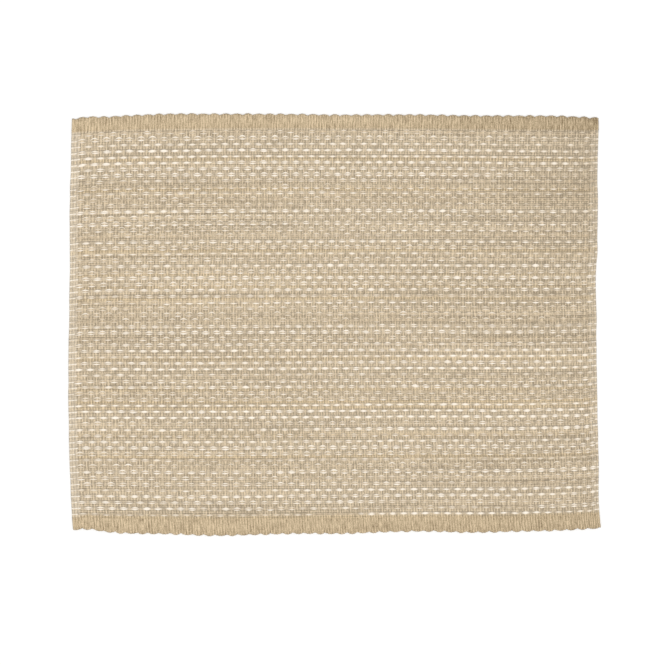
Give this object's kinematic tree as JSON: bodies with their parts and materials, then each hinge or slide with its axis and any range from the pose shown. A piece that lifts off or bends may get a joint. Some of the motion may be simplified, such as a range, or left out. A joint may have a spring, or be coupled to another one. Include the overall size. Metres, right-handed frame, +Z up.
{
  "type": "woven placemat",
  "caption": "Flat rectangular ribbed cotton placemat, beige warp with pale weft floats in rows, scalloped hems turned under along its two long edges.",
  "frame": {"origin": "centre of the mat's box on its underside, the plane it rests on", "axes": "+X along the weft rows and the two long hems, +Y along the warp towards the narrower hem, +Z up out of the mat's face"},
  "size_m": [0.4538, 0.3608, 0.0024],
  "materials": {
    "ribbed_cotton": "matt ribbed cotton weave, beige warp with off-white weft floats"
  },
  "bodies": {
    "root": {"woven_mat": "ribbed_cotton"}
  },
  "joints": []
}
